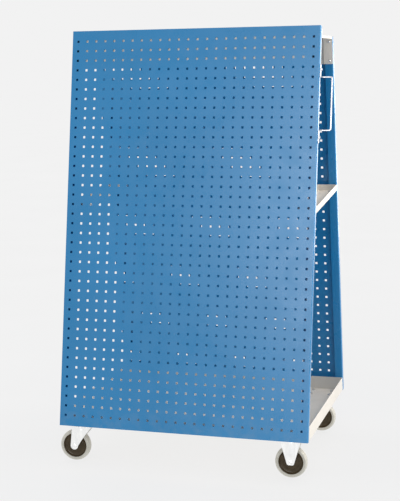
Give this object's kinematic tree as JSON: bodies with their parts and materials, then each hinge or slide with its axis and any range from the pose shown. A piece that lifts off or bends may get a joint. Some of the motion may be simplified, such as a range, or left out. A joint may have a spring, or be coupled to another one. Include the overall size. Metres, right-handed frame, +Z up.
{
  "type": "pegboard display stand",
  "caption": "Wheeled A-frame display stand: leaning perforated steel panels on a castor base tray, with a top link, mid braces and a side handle.",
  "frame": {"origin": "bottom centre of the overall box, on the floor", "axes": "+Z up, +X to the right seen from the front panel (towards the handle), +Y from the front panel to the rear panel"},
  "size_m": [1.0816, 0.8002, 1.7105],
  "materials": {
    "blue_paint": "satin powder coat",
    "grey_paint": "satin powder coat",
    "zinc_plate": "bright zinc",
    "bolt_steel": "zinc",
    "grey_rubber": "matt",
    "brown_hub": "gloss",
    "handle_steel": "bright"
  },
  "bodies": {
    "stand": {"front_panel": "blue_paint", "rear_panel": "blue_paint", "top_link": "grey_paint", "link_screw_front_left_low": "bolt_steel", "link_screw_front_left_high": "bolt_steel", "link_screw_front_right_low": "bolt_steel", "link_screw_front_right_high": "bolt_steel", "link_screw_rear_left_low": "bolt_steel", "link_screw_rear_left_high": "bolt_steel", "link_screw_rear_right_low": "bolt_steel", "link_screw_rear_right_high": "bolt_steel", "base_tray": "grey_paint", "mid_brace_left": "grey_paint", "mid_brace_right": "grey_paint", "brace_bolt_front_left": "bolt_steel", "brace_bolt_rear_left": "bolt_steel", "brace_bolt_front_right": "bolt_steel", "brace_bolt_rear_right": "bolt_steel", "handle": "handle_steel", "handle_bolt_low": "bolt_steel", "handle_bolt_high": "bolt_steel", "castor_plate_front_left": "zinc_plate", "swivel_head_front_left": "zinc_plate", "castor_plate_rear_left": "zinc_plate", "swivel_head_rear_left": "zinc_plate", "castor_plate_front_right": "zinc_plate", "castor_fork_front_right": "zinc_plate", "axle_front_right": "bolt_steel", "castor_plate_rear_right": "zinc_plate", "castor_fork_rear_right": "zinc_plate", "axle_rear_right": "bolt_steel", "plate_bolt_front_left_1": "bolt_steel", "plate_bolt_front_left_2": "bolt_steel", "plate_bolt_front_left_3": "bolt_steel", "plate_bolt_front_left_4": "bolt_steel", "plate_bolt_rear_left_1": "bolt_steel", "plate_bolt_rear_left_2": "bolt_steel", "plate_bolt_rear_left_3": "bolt_steel", "plate_bolt_rear_left_4": "bolt_steel", "plate_bolt_front_right_1": "bolt_steel", "plate_bolt_front_right_2": "bolt_steel", "plate_bolt_front_right_3": "bolt_steel", "plate_bolt_front_right_4": "bolt_steel", "plate_bolt_rear_right_1": "bolt_steel", "plate_bolt_rear_right_2": "bolt_steel", "plate_bolt_rear_right_3": "bolt_steel", "plate_bolt_rear_right_4": "bolt_steel"},
    "swivel_front_left": {"castor_fork_front_left": "zinc_plate", "axle_front_left": "bolt_steel"},
    "wheel_front_left": {"tyre_front_left": "grey_rubber", "hub_front_left": "brown_hub"},
    "swivel_rear_left": {"castor_fork_rear_left": "zinc_plate", "axle_rear_left": "bolt_steel"},
    "wheel_rear_left": {"tyre_rear_left": "grey_rubber", "hub_rear_left": "brown_hub"},
    "wheel_front_right": {"tyre_front_right": "grey_rubber", "hub_front_right": "brown_hub"},
    "wheel_rear_right": {"tyre_rear_right": "grey_rubber", "hub_rear_right": "brown_hub"}
  },
  "joints": [
    {"name": "castor_swivel_front_left", "type": "hinge", "parent": "stand", "child": "swivel_front_left", "pos_m": [-0.44565, -0.307, 0.1487], "axis": [0, 0, 1], "continuous": true},
    {"name": "wheel_spin_front_left", "type": "hinge", "parent": "swivel_front_left", "child": "wheel_front_left", "pos_m": [-0.47835, -0.307, 0.0625], "axis": [0, 1, 0], "continuous": true},
    {"name": "castor_swivel_rear_left", "type": "hinge", "parent": "stand", "child": "swivel_rear_left", "pos_m": [-0.44565, 0.307, 0.1487], "axis": [0, 0, 1], "continuous": true},
    {"name": "wheel_spin_rear_left", "type": "hinge", "parent": "swivel_rear_left", "child": "wheel_rear_left", "pos_m": [-0.47835, 0.307, 0.0625], "axis": [0, 1, 0], "continuous": true},
    {"name": "wheel_spin_front_right", "type": "hinge", "parent": "stand", "child": "wheel_front_right", "pos_m": [0.40915, -0.307, 0.0625], "axis": [0, 1, 0], "continuous": true},
    {"name": "wheel_spin_rear_right", "type": "hinge", "parent": "stand", "child": "wheel_rear_right", "pos_m": [0.40915, 0.307, 0.0625], "axis": [0, 1, 0], "continuous": true}
  ]
}
